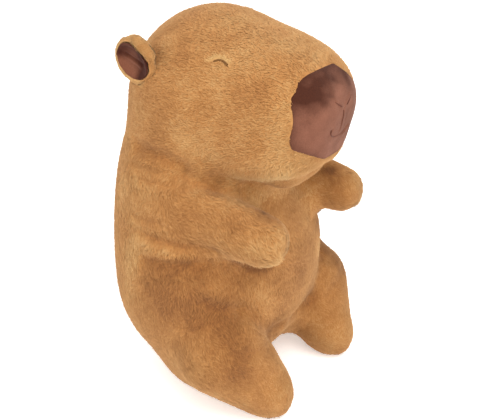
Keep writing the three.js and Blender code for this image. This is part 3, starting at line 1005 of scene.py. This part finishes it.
# Each face of the skin belongs to one region of the coat. There is no fur under the nose panel or the ear
# linings.
face_middle = skin_points[skin_faces].mean(1)
face_part = skin_part[skin_faces[:, 0]]
size, amount, seed = RAGGED_RIPPLE
ragged = RAGGED_START + amount * ripple(face_middle, size, seed)
under_nose = (within_nose(face_middle) > ragged) & (face_middle[:, 1] < nose_high[1])
bare = under_nose | skin_hidden[skin_faces].any(1)
front = face_middle[:, 1] < CHEST_BACK
right = face_middle[:, 0] < 0
on_head = (face_part == "head") | (face_part == "nose")
on_face = on_head & (face_middle[:, 1] < FACE_BACK)
regions = {
    "fur_face_right": on_face & right,
    "fur_face_left": on_face & ~right,
    "fur_head_right": on_head & ~on_face & right,
    "fur_head_left": on_head & ~on_face & ~right,
    "fur_chest_right": (face_part == "torso") & front & right,
    "fur_chest_left": (face_part == "torso") & front & ~right,
    "fur_back_right": (face_part == "torso") & ~front & right,
    "fur_back_left": (face_part == "torso") & ~front & ~right,
    "fur_arms": face_part == "arm",
    "fur_leg_right": (face_part == "leg") & right,
    "fur_leg_left": (face_part == "leg") & ~right,
    "fur_ears": face_part == "ear",
}

corner = skin_points[skin_faces]
face_area = np.linalg.norm(np.cross(corner[:, 1] - corner[:, 0], corner[:, 2] - corner[:, 0]), axis=1) / 2
face_weight = np.where(bare, 0, face_area / lock_width[skin_faces].mean(1) ** 2)


def scattered(faces, count, draw):
    """Roots spread evenly over some faces: the face of each and its place in it."""
    steps = np.cumsum(face_weight[faces])
    marks = (np.arange(count) + draw.random(count)) * steps[-1] / count
    face = faces[np.minimum(np.searchsorted(steps, marks), len(faces) - 1)]
    s, t = draw.random(count), draw.random(count)
    over = s + t > 1
    s[over], t[over] = 1 - s[over], 1 - t[over]
    return face, np.stack([1 - s - t, s, t], 1)


def between(values, face, share):
    """What the skin's points hold, read between the corners of a face."""
    return (values[skin_faces[face]] * share.reshape(share.shape + (1,) * (values.ndim - 1))).sum(1)


def chart_places(places, normals):
    """Lays the roots out on an unwrap of the skin: six flat charts, by the way that the skin faces."""
    axis = np.abs(normals).argmax(1)
    chart = 2 * axis + (normals[np.arange(len(axis)), axis] > 0)
    laid = np.zeros((len(places), 2))
    for number in np.unique(chart):
        mine = chart == number
        flat = np.delete(places[mine], number // 2, axis=1)
        flat = flat - flat.min(0)
        flat /= max(flat.max(), MM)
        cell = np.array([number % 3, number // 3])
        laid[mine] = (cell + CHART_MARGIN + (1 - 2 * CHART_MARGIN) * flat) / (3, 2)
    return laid


# A lock is a low ridge, pointed at both ends: its root, its two edges, its crest and its end. A tip is a thin
# spike of three sides. Each row of a table of faces is one face.
LOCK_FACES = np.array([(0, 1, 3), (0, 3, 2), (1, 4, 3), (3, 4, 2), (0, 2, 1), (1, 2, 4)])
LOCK_ALONG = np.array([0.0, 0.4, 0.4, 0.5, 1.0])
LOCK_ACROSS = np.array([0.0, -0.5, 0.5, 0.0, 0.0])
TIP_FACES = np.array([(0, 1, 3), (1, 2, 3), (2, 0, 3), (0, 2, 1)])
TIP_ALONG = np.array([0.5, 0.5, 0.5, 1.0])
TIP_ACROSS = np.array([-0.5, 0.5, 0.0, 0.0])


def brushed_roots(face, share, draw):
    """Where tufts grow: their roots, the way the skin faces, the way each lies, its side and its length."""
    root = between(skin_points, face, share)
    up = unit(between(skin_normals, face, share))
    lie = between(skin_lie, face, share)
    swirl = sum(amount * ripple(root, size, seed) for size, amount, seed in SWIRL_RIPPLES)
    swirl += draw.normal(0, SWIRL_SPREAD, len(face))
    lie = unit(lie * np.cos(swirl)[:, None] + np.cross(up, lie) * np.sin(swirl)[:, None])
    from_eye = np.min([distance_to_route(root, line) for line in eye_lines], axis=0)
    kept = np.clip((from_eye - EYE_CLEAR[0]) / (EYE_CLEAR[1] - EYE_CLEAR[0]), EYE_LENGTH_LEAST, 1)
    length = between(lock_length, face, share) * kept * draw.uniform(*LENGTH_SPREAD, len(face))
    return root, up, lie, np.cross(up, lie), length


def locks(face, share, draw):
    """The points of many locks, with their roots, the way the skin faces and the way each lies."""
    root, up, lie, side, length = brushed_roots(face, share, draw)
    width = between(lock_width, face, share) * draw.uniform(*LOCK_WIDTH_SPREAD, len(face))
    base = root + up * draw.uniform(*LAYERS, len(face))[:, None]
    lift = np.clip(draw.normal(*LOCK_LIFT, len(face)), *LOCK_LIFT_RANGE)
    way = lie * np.cos(lift)[:, None] + up * np.sin(lift)[:, None]
    crest = base + (LOCK_CREST * length)[:, None] * way
    wide = 0.5 * width[:, None] * side
    points = [
        root - up * ROOT_SINK,
        crest - wide,
        crest + wide,
        crest + (LOCK_HEIGHT * width)[:, None] * up,
        base + length[:, None] * way,
    ]
    return np.stack(points, 1), root, up, lie


def tips(face, share, draw):
    """The points of many standing tips, with their roots, the way the skin faces and the way each lies."""
    root, up, lie, side, length = brushed_roots(face, share, draw)
    width = TIP_WIDTH * between(lock_width, face, share) * draw.uniform(*TIP_WIDTH_SPREAD, len(face))
    stand = np.clip(draw.normal(*TIP_STAND, len(face)), *TIP_STAND_RANGE)
    way = lie * np.cos(stand)[:, None] + up * np.sin(stand)[:, None]
    wide = 0.5 * width[:, None] * side
    points = [
        root - wide,
        root + wide,
        root - TIP_DEPTH * width[:, None] * lie,
        root + (TIP_LENGTH * length)[:, None] * way,
    ]
    return np.stack(points, 1), root, up, lie


def coat_piece(name, mask, draw):
    """All the tufts of one region of the coat, as one mesh."""
    faces = np.flatnonzero(mask & ~bare)
    portion = face_weight[faces].sum() / face_weight.sum()
    points, triangles, patches, facing, along, brushed = ([] for _ in range(6))
    start = 0
    for total, grow, shape, up_tuft, across in (
        (LOCKS, locks, LOCK_FACES, LOCK_ALONG, LOCK_ACROSS),
        (TIPS, tips, TIP_FACES, TIP_ALONG, TIP_ACROSS),
    ):
        count = int(total * portion)
        face, share = scattered(faces, count, draw)
        shapes, root, up, lie = grow(face, share, draw)
        shapes[..., 2] = np.maximum(shapes[..., 2], TABLE_CLEAR)
        corners = shapes.shape[1]
        triangles.append((start + corners * np.arange(count)[:, None, None] + shape).reshape(-1, 3))
        start += corners * count
        points.append(shapes.reshape(-1, 3))
        outward = unit(shapes - shapes.mean(1, keepdims=True))
        facing.append(unit(FACING[0] * up[:, None] + FACING[1] * outward).reshape(-1, 3))
        laid = chart_places(root, between(skin_normals, face, share))
        patches.append((laid[:, None] + np.stack([across, up_tuft - 0.5], 1) * CHART_PATCH).reshape(-1, 2))
        along.append(np.tile(up_tuft, count))
        # Each tuft's tone, with painted light where its pile lies upward.
        tone = brushed_tone(shapes.mean(1)) + draw.normal(0, TONE_SPREAD, count) + LIE_PAINTED_LIGHT * lie[:, 2]
        brushed.append(np.repeat(np.clip(tone, 0, 1), corners))
    triangles = np.vstack(triangles)
    piece = mesh_piece(name, np.vstack(points), triangles)
    layer = piece.data.uv_layers.new(name="OFBake")
    layer.data.foreach_set("uv", np.vstack(patches)[triangles.ravel()].astype(np.float32).ravel())
    piece.data.normals_split_custom_set_from_vertices(np.vstack(facing).astype(np.float32))
    add_values(piece, along=np.concatenate(along), brushed=np.concatenate(brushed))
    piece.data.materials.append(fur_finish)
    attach(piece, "root")


draw = np.random.default_rng(FUR_SEED)
for name, mask in regions.items():
    coat_piece(name, mask, draw)
